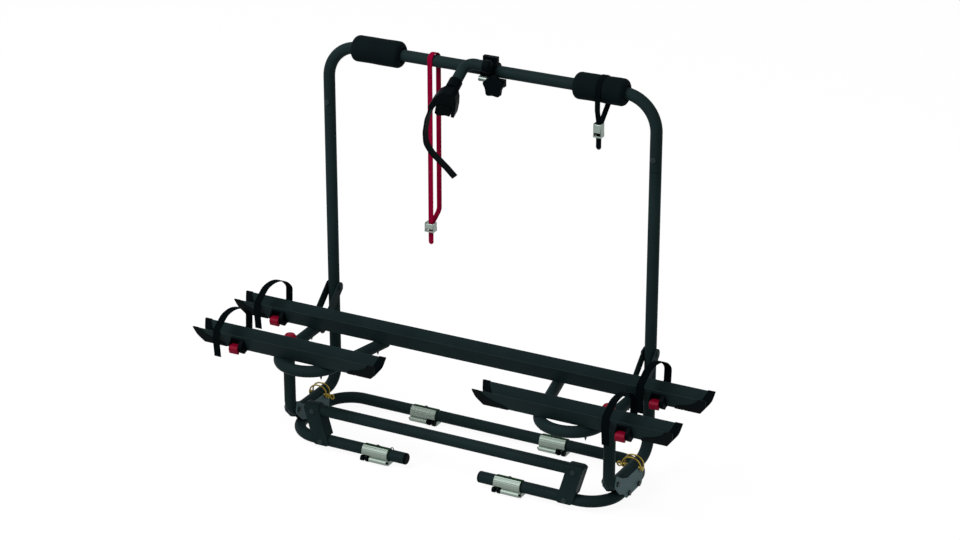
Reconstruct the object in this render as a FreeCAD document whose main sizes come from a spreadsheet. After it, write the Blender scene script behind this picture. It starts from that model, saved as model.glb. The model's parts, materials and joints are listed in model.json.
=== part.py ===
import FreeCAD, Part
import math
import os
import Sketcher
from FreeCAD import Matrix, Placement, Rotation, Vector

# Drawbar bike rack: a bolted base, and a carrier that tilts forward on it.
# X runs across the trailer, -Y towards the car, +Z up.
# Origin: middle of the drawbar bolt pattern, on the clamps' feet.

SIZES = [
    ("tubeOuter", 30, "diameter of every frame tube"),
    ("tubeWall", 2, "wall of every frame tube"),
    ("frameHalf", 452.5, "side frame plane from the middle"),
    ("uprightSetback", 92.5, "upright axis behind the origin"),
    ("jointHeight", 822, "joint between upright and hoop"),
    ("frameBottom", 67, "axis of the side frame's bottom run"),
    ("frontLegReach", 140, "front leg axis ahead of the origin"),
    ("frameBend", 45, "bend radius of the side frame"),
    ("hoopTop", 1006.6, "axis of the hoop's top bar"),
    ("hoopBend", 88, "bend radius of the hoop"),
    ("baseHeight", 27, "axis of the base loop above the feet"),
    ("baseRear", 104, "rear tube of the base loop"),
    ("baseFront", 152, "front tubes of the base loop"),
    ("baseGap", 108, "end of each front tube from the middle"),
    ("baseBend", 80, "bend radius of the base loop"),
    ("crossBarHeight", 109, "axis of the cross bar"),
    ("crossBarHalf", 382, "half length of the cross bar"),
    ("plateThick", 3, "plates of hinge, strut and bracket"),
    ("plateGap", 0.3, "side gap between plates and moving tube"),
    ("pivotReach", 127.5, "pivot ahead of the origin"),
    ("pivotHeight", 82, "pivot above the feet"),
    ("boltDia", 8, "M8 bolts"),
    ("runningFit", 0.05, "radial clearance of turning fits"),
    ("pinDia", 10, "lock pin"),
    ("pinSetback", 4.5, "lock pin behind the origin"),
    ("pinHeight", 66, "lock pin above the feet"),
    ("platformHeight", 260, "axis of the platform loops"),
    ("platformBend", 79, "bend radius of the platform loops"),
    ("platformFront", 252.5, "front of the platform loops' axis"),
    ("railTopWidth", 60, "width across a rail's lips"),
    ("railFloor", 20, "width of a rail's floor"),
    ("railHeight", 44, "height of a rail"),
    ("railWall", 2, "sheet of a rail"),
    ("rearRailSetback", -28.3, "middle of the rear rail"),
    ("frontRailSetback", -224.6, "middle of the front rails"),
    ("railTip", 666, "tip of the outer rail caps"),
    ("railInnerTip", 135.3, "tip of the front rails' inner caps"),
    ("clampSpacing", 188, "middle of each clamp from the middle"),
    ("clampLength", 72, "length of a clamp"),
    ("linerThick", 2, "rubber liner in a clamp"),
    ("shellThick", 4.5, "shell of a clamp"),
    ("drawbarHole", 8.6, "drawbar hole in a clamp's foot"),
    ("drawbarSetback", 24, "drawbar holes behind the tube axis"),
    ("drawbarOffset", 26, "drawbar holes from a clamp's middle"),
    ("padDia", 67, "foam pad"),
    ("padLength", 136, "length of a foam pad"),
    ("padInset", 145.9, "middle of a foam pad inside the side frame"),
    ("knobDia", 33, "clamp knob"),
    ("armDia", 28, "tube of the bike arm"),
    ("strapThick", 1.8, "webbing"),
    ("wheelStrapWidth", 20, "wheel strap"),
    ("loadStrapWidth", 14, "red load strap"),
    ("padStrapWidth", 14, "strap round the pad"),
]

doc = FreeCAD.newDocument("DrawbarBikeRack")
sheet = doc.addObject("Spreadsheet::Sheet", "Sizes")
for row, (alias, value, note) in enumerate(SIZES, start=1):
    sheet.set("A%d" % row, alias)
    sheet.set("B%d" % row, str(value))
    sheet.set("C%d" % row, note)
    sheet.setAlias("B%d" % row, alias)
doc.recompute()
NODES = []


def size(alias):
    return float(sheet.get(alias))


def node(obj, label):
    obj.Label = label
    NODES.append(obj)
    return obj


X = Vector(1, 0, 0)
Y = Vector(0, 1, 0)
Z = Vector(0, 0, 1)
TUBE = size("tubeOuter") / 2
FRAME = size("frameHalf")
PLATE = size("plateThick")
BOLT = size("boltDia") / 2
UPRIGHT = size("uprightSetback")
LEG = -size("frontLegReach")
REAR = size("baseRear")
FRONT = -size("baseFront")
BASE = size("baseHeight")
LOOP = size("platformHeight")
PIVOT = (-size("pivotReach"), size("pivotHeight"))
PIN = (size("pinSetback"), size("pinHeight"))
HOOP = size("hoopTop")
PAD_MIDDLE = FRAME - size("padInset")


# Geometry of flat outlines: corners are (x, y, radius).
def corner(before, here, after, radius):
    point = Vector(here[0], here[1], 0)
    back = (Vector(before[0], before[1], 0) - point).normalize()
    ahead = (Vector(after[0], after[1], 0) - point).normalize()
    if radius <= 0 or (back + ahead).Length < 1e-6:
        return point, point, None
    half = back.getAngle(ahead) / 2
    reach = radius / math.tan(half)
    inward = (back + ahead).normalize()
    middle = point + inward * (radius / math.sin(half))
    return point + back * reach, point + ahead * reach, middle - inward * radius


def outline(points, closed=True):
    count = len(points)
    parts = []
    for index, here in enumerate(points):
        if not closed and index in (0, count - 1):
            spot = Vector(here[0], here[1], 0)
            parts.append((spot, spot, None))
        else:
            after = points[(index + 1) % count]
            parts.append(corner(points[index - 1], here, after, here[2] if len(here) > 2 else 0))
    edges = []
    for index, (start, end, top) in enumerate(parts):
        if top is not None:
            edges.append(Part.Arc(start, top, end))
        if closed or index < count - 1:
            following = parts[(index + 1) % count][0]
            if (following - end).Length > 1e-6:
                edges.append(Part.LineSegment(end, following))
    return edges


# Outline of a band of even thickness that follows an open path.
def band(points, thick):
    count = len(points)
    sides = ([], [])
    for index, here in enumerate(points):
        spot = Vector(here[0], here[1], 0)
        near = Vector(points[max(index - 1, 0)][0], points[max(index - 1, 0)][1], 0)
        far = Vector(points[min(index + 1, count - 1)][0], points[min(index + 1, count - 1)][1], 0)
        into = (spot - near).normalize() if index else (far - spot).normalize()
        out = (far - spot).normalize() if index < count - 1 else into
        left = Vector(-into.y - out.y, into.x + out.x, 0).normalize()
        spread = thick / 2 / left.dot(Vector(-into.y, into.x, 0))
        turn = into.x * out.y - into.y * out.x
        radius = here[2] if len(here) > 2 else 0
        for side, sign in ((0, 1), (1, -1)):
            spot2 = spot + left * (spread * sign)
            change = -sign * thick / 2 * (1 if turn > 0 else -1)
            sides[side].append((spot2.x, spot2.y, max(radius + change, 0) if radius else 0))
    return sides[0] + sides[1][::-1]


def bind(obj, name, value):
    if isinstance(value, str):
        obj.setExpression(name, value)
    else:
        setattr(obj, name, value)


def new_sketch(body, role, at, name="Sketch"):
    sketch = body.newObject("Sketcher::SketchObject", name)
    plane = next(item for item in body.Origin.OriginFeatures if item.Role == role)
    sketch.AttachmentSupport = [(plane, "")]
    sketch.MapMode = "FlatFace"
    sketch.AttachmentOffset = at if isinstance(at, Placement) else Placement(Vector(*at), Rotation())
    return sketch


def add_circle(sketch, radius, centre=(0, 0)):
    index = sketch.addGeometry(Part.Circle(Vector(centre[0], centre[1], 0), Z, 5), False)
    rule = sketch.addConstraint(Sketcher.Constraint("Radius", index, 5.0))
    sketch.setExpression("Constraints[%d]" % rule, radius)


# A prism: an outline on one of the main planes, padded along that plane's normal.
def prism(name, role, edges, start, length, holes=()):
    body = doc.addObject("PartDesign::Body", name)
    sketch = new_sketch(body, role, (0, 0, start))
    sketch.addGeometry(edges, False)
    for u, v, radius in holes:
        add_circle(sketch, radius, (u, v))
    pad = body.newObject("PartDesign::Pad", "Pad")
    pad.Profile = sketch
    bind(pad, "Length", length)
    body.Tip = pad
    return body


# A bent tube or rod: a ring swept along a path of lines and arcs.
def tube(name, role, at, path, end_role, end_at, outer, inner=None):
    body = doc.addObject("PartDesign::Body", name)
    spine = new_sketch(body, role, at, "Spine")
    edges = outline(path, False)
    spine.addGeometry(edges, False)
    ring = new_sketch(body, end_role, end_at, "Ring")
    add_circle(ring, outer)
    if inner:
        add_circle(ring, inner)
    pipe = body.newObject("PartDesign::AdditivePipe", "Pipe")
    pipe.Profile = ring
    pipe.Spine = (spine, ["Edge%d" % (index + 1) for index in range(len(edges))])
    body.Tip = pipe
    return body


# A turned piece: a half profile revolved about the sketch's own X axis.
def turned(name, profile, at, along):
    body = doc.addObject("PartDesign::Body", name)
    sketch = new_sketch(body, "XY_Plane", (0, 0, 0))
    sketch.addGeometry(outline(profile), False)
    spin = body.newObject("PartDesign::Revolution", "Revolution")
    spin.Profile = sketch
    spin.ReferenceAxis = (sketch, ["H_Axis"])
    spin.Angle = 360
    body.Tip = spin
    body.Placement = Placement(at, Rotation(X, along))
    return body


def rod(radius, length, at, along=Z):
    part = doc.addObject("Part::Cylinder", "Rod")
    bind(part, "Radius", radius)
    bind(part, "Height", length)
    part.Placement = Placement(at, Rotation(Z, along))
    return part


def block(low, high):
    part = doc.addObject("Part::Box", "Block")
    part.Length, part.Width, part.Height = [high[i] - low[i] for i in range(3)]
    part.Placement = Placement(Vector(*low), Rotation())
    return part


def hexagon(radius, height, at, along):
    part = doc.addObject("Part::Prism", "Hexagon")
    part.Polygon = 6
    bind(part, "Circumradius", radius)
    part.Height = height
    part.Placement = Placement(at, Rotation(Z, along))
    return part


def group(parts, name="Group"):
    whole = doc.addObject("Part::Compound", name)
    whole.Links = parts
    return whole


def cut(base, tools):
    whole = doc.addObject("Part::Cut", "Cut")
    whole.Base = base
    whole.Tool = tools[0] if len(tools) == 1 else group(tools)
    return whole


def join(parts):
    whole = doc.addObject("Part::MultiFuse", "Join")
    whole.Shapes = parts
    return whole


def common(one, other):
    whole = doc.addObject("Part::Common", "Common")
    whole.Base = one
    whole.Tool = other
    return whole


RING = ("Sizes.tubeOuter / 2", "Sizes.tubeOuter / 2 - Sizes.tubeWall")
M8 = "Sizes.boltDia / 2"


# A bolt from under its head at one face to a nut on the other.
def bolt(at, along, grip, radius=M8, wide=1.85, nut=True, dome=False, past=2, point=0):
    thread = size("boltDia") / 2 if radius == M8 else radius
    high = thread * 1.1
    shank = rod(radius, grip + (high + past if nut else past), at, along)
    if dome:
        profile = [(0, 0), (0, thread * wide), (-high * 0.9, thread * wide, high * 0.85), (-high * 0.9, 0)]
        head = turned("Dome", profile, at, along)
    else:
        head = hexagon(thread * wide, high, at - along * high, along)
    pieces = [shank, head]
    if point:
        tip = doc.addObject("Part::Cone", "Point")
        tip.Radius1, tip.Radius2, tip.Height = thread, 0.4, point
        tip.Placement = Placement(at + along * (grip + past), Rotation(Z, along))
        pieces.append(tip)
    parts = [join(pieces)]
    if nut:
        far = at + along * grip
        parts.append(cut(hexagon(thread * wide, high, far, along), [rod(radius, high, far, along)]))
    return parts


# Side frames and the hoop above them
ARM_LEAN, INNER_LEAN = 0.0345, -0.2143


def arm_x(y):
    return FRAME - 0.5 + ARM_LEAN * (y + 6.5)


def inner_x(y):
    return FRAME - 202.5 + INNER_LEAN * (y + 7.5)


STRUT_LOW = (4, LOOP)
STRUT_HIGH = (UPRIGHT, 339)
KNOB_X = arm_x(LEG)
JOINT = size("jointHeight")
SCREW_HEIGHT = JOINT + 31
for side, name in ((-1, "left"), (1, "right")):
    bend = size("frameBend")
    low = size("frameBottom")
    path = [(UPRIGHT, JOINT), (UPRIGHT, low, bend), (LEG, low, bend), (LEG, LOOP)]
    frame = tube("SideFrame", "YZ_Plane", (0, 0, side * FRAME), path,
                 "XY_Plane", (side * FRAME, UPRIGHT, JOINT), *RING)
    across = side * FRAME - 30
    tools = [
        rod("Sizes.tubeOuter / 2 + 0.1", 80, Vector(side * arm_x(LEG - 40), LEG - 40, LOOP),
            Vector(side * ARM_LEAN, 1, 0)),
        block((side * FRAME - 20, LEG - 20, LOOP), (side * FRAME + 20, LEG + 20, LOOP + 5)),
        rod("Sizes.boltDia / 2 + Sizes.runningFit", 60, Vector(across, *PIVOT), X),
        rod("Sizes.pinDia / 2 + Sizes.runningFit", 60, Vector(across, *PIN), X),
        rod(M8, 60, Vector(across, *STRUT_HIGH), X),
    ]
    node(cut(frame, tools), name + "_side_frame")

path = [(-FRAME, JOINT), (-FRAME, HOOP, size("hoopBend")), (FRAME, HOOP, size("hoopBend")), (FRAME, JOINT)]
hoop = tube("Hoop", "XZ_Plane", (0, 0, -UPRIGHT), path, "XY_Plane", (-FRAME, UPRIGHT, JOINT), *RING)
holes = [rod(3, 30, Vector(side * FRAME, UPRIGHT - 30, SCREW_HEIGHT), Y) for side in (-1, 1)]
node(cut(hoop, holes), "hoop")
spigots, screws = [], []
for side in (-1, 1):
    centre = Vector(side * FRAME, UPRIGHT, JOINT - 45)
    hole = Vector(side * FRAME, UPRIGHT - 30, SCREW_HEIGHT)
    spigots.append(cut(rod(RING[1], 90, centre), [rod(11, 90, centre), rod(3, 30, hole, Y)]))
    screws += bolt(Vector(side * FRAME, UPRIGHT - TUBE, SCREW_HEIGHT), Y, 4, 3, 2.4, False, True, 2)
node(group(spigots), "hoop_spigots")
node(group(screws), "hoop_screws")

for side, name in ((-1, "left"), (1, "right")):
    half = size("padLength") / 2
    outer = size("padDia") / 2
    profile = [(-half + 13, TUBE), (-half, TUBE + 4.5), (-half, outer, 13), (half, outer, 13),
               (half, TUBE + 4.5), (half - 13, TUBE)]
    centre = Vector(side * PAD_MIDDLE, UPRIGHT, HOOP)
    node(turned("FoamPad", profile, centre, X), name + "_foam_pad")

# Base loop, cross bar and their brackets
base_x, gap_x, bend = FRAME, size("baseGap"), size("baseBend")
path = [(-gap_x, FRONT), (-base_x, FRONT, bend), (-base_x, REAR, bend),
        (base_x, REAR, bend), (base_x, FRONT, bend), (gap_x, FRONT)]
loop = tube("BaseLoop", "XY_Plane", (0, 0, BASE), path, "YZ_Plane", (FRONT, BASE, -gap_x), *RING)
BRACKET_LOW = (size("crossBarHalf") - 35.5, BASE)
BRACKET_HIGH = (size("crossBarHalf") - 12.5, size("crossBarHeight"))
HINGE_BOLTS = (-2.5, -59)
CLAMP_X = size("clampSpacing")
tools = []
for side in (-1, 1):
    tools += [rod(M8, 60, Vector(side * FRAME - 30, y, BASE), X) for y in HINGE_BOLTS]
    tools.append(rod(M8, 60, Vector(side * BRACKET_LOW[0], FRONT - 30, BASE), Y))
    tools += [rod(3, 60, Vector(side * CLAMP_X, y, BASE - 30)) for y in (REAR, FRONT)]
node(cut(loop, tools), "base_loop")
plugs = []
for side in (-1, 1):
    bore = TUBE - size("tubeWall")
    profile = [(-12, 0), (-12, bore, 1), (0, bore), (0, TUBE), (6, TUBE, 4), (6, 0)]
    plugs.append(turned("Plug", profile, Vector(side * gap_x, FRONT, BASE), X * -side))
node(group(plugs), "base_end_plugs")

bar_half = size("crossBarHalf")
bar_at = Vector(-bar_half, FRONT, BRACKET_HIGH[1])
tools = [rod(RING[1], "2 * Sizes.crossBarHalf", bar_at, X)]
tools += [rod(M8, 60, Vector(side * BRACKET_HIGH[0], FRONT - 30, BRACKET_HIGH[1]), Y) for side in (-1, 1)]
node(cut(rod(RING[0], "2 * Sizes.crossBarHalf", bar_at, X), tools), "cross_bar")

WEB = TUBE + PLATE
base_bolts = []
for side, name in ((-1, "left"), (1, "right")):
    low = Vector(side * BRACKET_LOW[0], BRACKET_LOW[1], 0)
    high = Vector(side * BRACKET_HIGH[0], BRACKET_HIGH[1], 0)
    lean = (high.x - low.x) / (high.y - low.y)

    def frame_of(start, end, half, round_by):
        bottom, top = low.x + lean * start, high.x + lean * end
        return outline([(bottom - half, low.y + start, round_by), (bottom + half, low.y + start, round_by),
                        (top + half, high.y + end, round_by), (top - half, high.y + end, round_by)])

    shell = prism("Channel", "XZ_Plane", frame_of(-9.5, TUBE + 0.6 + PLATE, 22, 7), -FRONT - 16.5, 16.5 + WEB)
    inside = prism("Inside", "XZ_Plane", frame_of(-30, TUBE + 0.6, 22 - PLATE, 4), -FRONT - 17, 17 + TUBE)
    tools = [inside]
    for spot, end in ((low, low.x + side * 40), (high, side * (bar_half + 0.2))):
        near, far = sorted((spot.x - side * 40, end))
        tools.append(rod(RING[0], far - near, Vector(near, FRONT, spot.y), X))
        tools.append(block((near, FRONT, spot.y - TUBE), (far, FRONT + 20, spot.y + TUBE)))
        tools.append(rod(M8, 30, Vector(spot.x, FRONT - 30, spot.y), Y))
        base_bolts += bolt(Vector(spot.x, FRONT - WEB, spot.y), Y, WEB + TUBE, M8, 1.85, True, True)
    node(cut(shell, tools), name + "_cross_bar_bracket")

# Hinge plates: one each side of the side frame, bolted through the base loop
PLATE_OUTLINE = [
    (-134.5, 107, 3), (-97, 83.5, 25), (-66, 71, 40), (-10, 70, 20), (13, 70, 9), (27, 45, 12), (17, 18, 4),
    (-72, 18, 6), (-88, 36, 14), (-113, 47, 20), (-140, 76, 12), (-138, 92, 8),
]
INNER_FACE = TUBE + size("plateGap")
SLOT_LEAN = math.degrees(math.atan2(PIVOT[1] - PIN[1], PIN[0] - PIVOT[0]))
pivot_bolts = []
for side, name in ((-1, "left"), (1, "right")):
    for out, which in ((1, "outer"), (-1, "inner")):
        near = side * FRAME + side * out * INNER_FACE
        start = near if side * out > 0 else near - PLATE
        holes = [(PIVOT[0], PIVOT[1], M8)] + [(y, BASE, M8) for y in HINGE_BOLTS]
        plate = prism("HingePlate", "YZ_Plane", outline(PLATE_OUTLINE), start, "Sizes.plateThick", holes)
        notch = size("pinDia") / 2 + 0.15
        slot = block((-10, -notch, 0), (10, notch, 20))
        slot.Placement = Placement(Vector(near, *PIN), Rotation(X, -SLOT_LEAN)).multiply(slot.Placement)
        tools = [rod(notch, 20, Vector(near - 10, *PIN), X), slot]
        node(cut(plate, tools), "%s_%s_hinge_plate" % (name, which))
    reach = INNER_FACE + PLATE
    head = side * (FRAME + reach)
    pivot_bolts += bolt(Vector(head, *PIVOT), X * -side, 2 * reach, M8, 1.85, True, False, 1, 5)
    for y in HINGE_BOLTS:
        base_bolts += bolt(Vector(head, y, BASE), X * -side, 2 * reach)
node(group(pivot_bolts), "pivot_bolts")
node(group(base_bolts), "base_bolts")


# Drawbar clamps: jaw below, liner round the tube, hinged shell over its front
def sector(centre, inner, outer, start, end):
    def at(radius, angle):
        turn = math.radians(angle)
        return Vector(centre[0] + radius * math.cos(turn), centre[1] + radius * math.sin(turn), 0)
    middle = (start + end) / 2
    return [
        Part.Arc(at(outer, start), at(outer, middle), at(outer, end)),
        Part.LineSegment(at(outer, end), at(inner, end)),
        Part.Arc(at(inner, end), at(inner, middle), at(inner, start)),
        Part.LineSegment(at(inner, start), at(outer, start)),
    ]


LINER = TUBE + size("linerThick")
SHELL = LINER + size("shellThick")
BEAD = (-19.5, -15, 6.5)
HEAD_ROOM = 23
shells, jaws, liners, pins, clamp_bolts = [], [], [], [], []
for side in (-1, 1):
    for y, pin_side in ((REAR, 1), (FRONT, -1)):
        left = side * CLAMP_X - size("clampLength") / 2
        long = "Sizes.clampLength"
        bead_at = Vector(left, y + BEAD[0], BASE + BEAD[1])
        short = Vector(left + (0 if pin_side > 0 else HEAD_ROOM), bead_at.y, bead_at.z)
        shell = join([prism("Shell", "YZ_Plane", sector((y, BASE), LINER, SHELL, 119, 222), left, long),
                      rod(BEAD[2], size("clampLength") - HEAD_ROOM, short, X)])
        end = left + size("clampLength") - HEAD_ROOM if pin_side > 0 else left
        room = block((end, y - 40, BASE - 40), (end + HEAD_ROOM, y - 8, BASE - 4))
        bore = rod(LINER, long, Vector(left, y, BASE), X)
        shells.append(cut(shell, [rod(3, long, bead_at, X), bore, room]))
        liner = prism("Liner", "YZ_Plane", sector((y, BASE), TUBE, LINER, 55, 340), left, long)
        hole = rod(3, 60, Vector(side * CLAMP_X, y, BASE - 30))
        liners.append(cut(liner, [hole]))
        back = size("drawbarSetback") + 12
        jaw_outline = [(-11, -27, 1), (back, -27, 3), (back, -17, 3), (21, -17, 2), (21, -2, 1.5), (-11, -2)]
        jaw_outline = [(y + spot[0], BASE + spot[1]) + spot[2:] for spot in jaw_outline]
        jaw = prism("Jaw", "YZ_Plane", outline(jaw_outline), left, long)
        tools = [rod(LINER, long, Vector(left, y, BASE), X), hole]
        for offset in (-1, 1):
            spot = Vector(side * CLAMP_X + offset * size("drawbarOffset"), y + size("drawbarSetback"), -1)
            tools.append(rod("Sizes.drawbarHole / 2", 12, spot))
        jaws.append(cut(jaw, tools))
        end = left + size("clampLength") if pin_side > 0 else left
        start = Vector(end + pin_side * 2, bead_at.y, bead_at.z)
        shank = rod(3, size("clampLength") + 6, start, X * -pin_side)
        head = rod(7.2, 8, start - X * (pin_side * 8), X * pin_side)
        collar = rod(7.2, 7, start - X * (pin_side * 22), X * pin_side)
        pins.append(join([shank, head, collar]))
        top = Vector(side * CLAMP_X, y, BASE + LINER)
        clamp_bolts += bolt(top, Z * -1, LINER + 20, 3, 1.8, False, True, 4)
node(group(shells), "clamp_shells")
node(group(jaws), "clamp_jaws")
node(group(liners), "clamp_liners")
node(group(pins), "clamp_pins")
node(group(clamp_bolts), "clamp_bolts")

# Platform loops under the rails
FRONT_ARC = -size("platformFront")
RAIL_TOP = LOOP + TUBE + size("railHeight")
REAR_RAIL = size("rearRailSetback")
FRONT_RAIL = size("frontRailSetback")
SCREW_OUT, SCREW_IN = FRAME - 25.1, FRAME - 145.5
platform_plugs, rail_screws = [], []
for side, name in ((-1, "left"), (1, "right")):
    radius = size("platformBend")
    tail = 20
    square = Rotation(Y, -side * math.degrees(math.atan(ARM_LEAN)))
    path = [(side * arm_x(tail), tail), (side * arm_x(FRONT_ARC), FRONT_ARC, radius),
            (side * inner_x(FRONT_ARC), FRONT_ARC, radius), (side * inner_x(0), 0)]
    loop = tube("PlatformLoop", "XY_Plane", (0, 0, LOOP), path,
                "XZ_Plane", Placement(Vector(side * arm_x(tail), LOOP, -tail), square), *RING)
    spots = [(arm_x(REAR_RAIL), REAR_RAIL), (inner_x(REAR_RAIL), REAR_RAIL),
             (SCREW_OUT, FRONT_RAIL), (SCREW_IN, FRONT_RAIL)]
    tools = [rod(3, 60, Vector(side * x, y, LOOP - 30)) for x, y in spots]
    tools.append(rod("Sizes.boltDia / 2 + Sizes.runningFit", 60, Vector(side * KNOB_X, LEG, LOOP - 30)))
    tools.append(rod(M8, 60, Vector(side * FRAME - 30, *STRUT_LOW), X))
    node(cut(loop, tools), name + "_platform_loop")
    sheet_wall = size("railWall")
    tip = 2 * TUBE + sheet_wall + 11
    for x, y in spots:
        profile = [(0, 0), (0, 5), (sheet_wall, 3), (tip - 8, 3), (tip, 0.4), (tip, 0)]
        rail_screws.append(turned("Screw", profile, Vector(side * x, y, LOOP + TUBE + sheet_wall), Z * -1))
    bore = TUBE - size("tubeWall")
    profile = [(-10, 0), (-10, bore, 1), (0, bore), (0, TUBE), (4, TUBE, 3), (4, 0)]
    for x, y, lean in ((arm_x(tail), tail, ARM_LEAN), (inner_x(0), 0, INNER_LEAN)):
        platform_plugs.append(turned("Plug", profile, Vector(side * x, y, LOOP), Vector(side * lean, 1, 0)))
node(group(platform_plugs), "platform_plugs")
node(group(rail_screws), "rail_screws")

# Strut plates brace each upright to the platform's outer arm
plates, strut_bolts = [], []
low, high = Vector(*STRUT_LOW, 0), Vector(*STRUT_HIGH, 0)
along = (high - low).normalize()
wide = Vector(along.y, -along.x, 0)
corners = [low - along * 15 - wide * 15, low - along * 15 + wide * 15,
           high + along * 15 + wide * 15, high + along * 15 - wide * 15]
STRUT_FACE = TUBE + 0.6
for side in (-1, 1):
    for out in (-1, 1):
        near = side * FRAME + out * STRUT_FACE
        start = near if out > 0 else near - PLATE
        holes = [STRUT_LOW + (M8,), STRUT_HIGH + (M8,)]
        edges = outline([(spot.x, spot.y, 14.9) for spot in corners])
        plates.append(prism("Strut", "YZ_Plane", edges, start, "Sizes.plateThick", holes))
    for spot in (STRUT_LOW, STRUT_HIGH):
        reach = STRUT_FACE + PLATE
        strut_bolts += bolt(Vector(side * (FRAME + reach), *spot), X * -side, 2 * reach, M8, 1.85, True, True)
node(group(plates), "strut_plates")
node(group(strut_bolts), "strut_bolts")

# Wheel rails: open channels, and caps that wrap their slanted ends
LIP = size("railTopWidth") / 2
FLOOR = size("railFloor") / 2
DEEP = size("railHeight")
WALL = size("railWall")
SLANT = 23
END = 19
SLOPE = (LIP - FLOOR) / DEEP
THICK = WALL * math.hypot(1, SLOPE)


def section(y, grow, rise=0):
    top = LIP + grow + SLOPE * rise
    low = FLOOR + grow - SLOPE * grow
    return [(y - top, RAIL_TOP + rise), (y - low, RAIL_TOP - DEEP - grow),
            (y + low, RAIL_TOP - DEEP - grow), (y + top, RAIL_TOP + rise)]


def inside(y, rise=0):
    top = LIP - THICK + SLOPE * rise
    low = FLOOR - THICK + SLOPE * WALL
    return [(y + top, RAIL_TOP + rise), (y + low, RAIL_TOP - DEEP + WALL),
            (y - low, RAIL_TOP - DEEP + WALL), (y - top, RAIL_TOP + rise)]


def rail(name, y, start, end):
    channel = prism("Channel", "YZ_Plane", outline(section(y, 0) + inside(y)), start, end - start)
    low = RAIL_TOP - DEEP
    side_view = [(start + END, RAIL_TOP), (start + END + SLANT, low),
                 (end - END - SLANT, low), (end - END, RAIL_TOP)]
    window = prism("Window", "XZ_Plane", outline(side_view), -y - 50, 100)
    cutter = []
    for x in SPOTS[name]:
        sink = doc.addObject("Part::Cone", "Sink")
        sink.Radius1, sink.Radius2, sink.Height = 3, 5, WALL
        sink.Placement = Placement(Vector(x, y, LOOP + TUBE), Rotation())
        cutter.append(sink)
    return cut(common(channel, window), cutter)


def cap(tip, out, y):
    low = RAIL_TOP - DEEP - 3
    high = RAIL_TOP + 1
    body = prism("Cover", "YZ_Plane", outline(section(y, 1.5, 1)), tip - 80 if out > 0 else tip, 80)
    view = [(tip, high, 1.5), (tip - out * 5, RAIL_TOP - 24, 30), (tip - out * SLANT, low, 6),
            (tip - out * 76, low, 3), (tip - out * 46, low + 12, 20), (tip - out * (END + 1), high)]
    shape = common(body, prism("View", "XZ_Plane", outline(view), -y - 50, 100))
    filled = prism("Bore", "YZ_Plane", outline(section(y, 0, 2)), tip - 90 if out > 0 else tip, 90)
    hollow = prism("Mouth", "YZ_Plane", outline(inside(y, 2)), tip - 90 if out > 0 else tip - 5, 95)
    keep = [(tip - out * (END - SLANT * 6 / DEEP), RAIL_TOP + 6),
            (tip - out * (END + SLANT + SLANT * 6 / DEEP), RAIL_TOP - DEEP - 6),
            (tip - out * 120, RAIL_TOP - DEEP - 6), (tip - out * 120, RAIL_TOP + 6)]
    return cut(shape, [common(filled, prism("Keep", "XZ_Plane", outline(keep), -y - 50, 100)), hollow])


SPOTS = {
    "rear_rail": [side * x for side in (-1, 1) for x in (arm_x(REAR_RAIL), inner_x(REAR_RAIL))],
    "left_front_rail": [-SCREW_OUT, -SCREW_IN],
    "right_front_rail": [SCREW_OUT, SCREW_IN],
}
TIP, MID = size("railTip"), size("railInnerTip")
node(rail("rear_rail", REAR_RAIL, -TIP, TIP), "rear_rail")
node(rail("left_front_rail", FRONT_RAIL, -TIP, -MID), "left_front_rail")
node(rail("right_front_rail", FRONT_RAIL, MID, TIP), "right_front_rail")
ends = [(-TIP, -1, REAR_RAIL), (TIP, 1, REAR_RAIL), (-TIP, -1, FRONT_RAIL), (-MID, 1, FRONT_RAIL),
        (MID, -1, FRONT_RAIL), (TIP, 1, FRONT_RAIL)]
node(group([cap(*spot) for spot in ends]), "rail_end_caps")

# Clamp knobs: stud through the outer arm, cap above it
for side, name in ((-1, "left"), (1, "right")):
    wide = size("knobDia") / 2
    rise = TUBE + 0.3
    profile = [(-TUBE - 12, 0), (-TUBE - 12, BOLT, 1), (rise, BOLT), (rise, 11, 1), (rise + 4, 12, 3),
               (rise + 7, wide, 3), (rise + 15, wide, 3), (rise + 22.5, wide - 5, 4), (rise + 22.5, 0)]
    node(turned("Knob", profile, Vector(side * KNOB_X, LEG, LOOP), Z), name + "_clamp_knob")

# Lock pins through plates and frame, with wire bows that snap over their tips
WIRE = 2.2
EYE_X, TIP_X = FRAME - 25.5, FRAME + 20.5
BOW_X = TIP_X + 3.5
for side, name in ((-1, "left"), (1, "right")):
    thin = size("pinDia") / 2
    stop = FRAME - INNER_FACE - PLATE - 0.3
    profile = [(EYE_X - 8, 0), (EYE_X - 8, thin - 0.5, 0.5), (EYE_X - 5, thin - 0.5), (EYE_X - 4, 6, 1),
               (stop, 6, 1), (stop, thin), (TIP_X, thin, 1.5), (TIP_X, 0)]
    shank = turned("LockPin", profile, Vector(0, *PIN), X * side)
    ring = doc.addObject("Part::Torus", "PullRing")
    ring.Radius1, ring.Radius2 = 5.5, 2.1
    ring.Placement = Placement(Vector(side * (EYE_X - 12.5), *PIN), Rotation(Z, Y))
    eye = Vector(side * EYE_X, PIN[0] - 12, PIN[1])
    node(cut(join([shank, ring]), [rod(WIRE + size("runningFit"), 24, eye, Y)]), name + "_lock_pin")
top = size("frameBottom") + TUBE + 13
legs = []
for shift in (-8.7, 8.7):
    path = [(-EYE_X, PIN[1]), (1 - EYE_X, top - 1, 20), (-BOW_X - 1, top, 24), (-BOW_X, PIN[1])]
    legs.append(tube("BowLeg", "XZ_Plane", (0, 0, -PIN[0] - shift), path,
                     "XY_Plane", (-EYE_X, PIN[0] + shift, PIN[1]), "%s" % (WIRE - 0.2)))
for x in (-EYE_X, -BOW_X):
    legs.append(rod(WIRE, 17.4, Vector(x, PIN[0] - 8.7, PIN[1]), Y))
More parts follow.
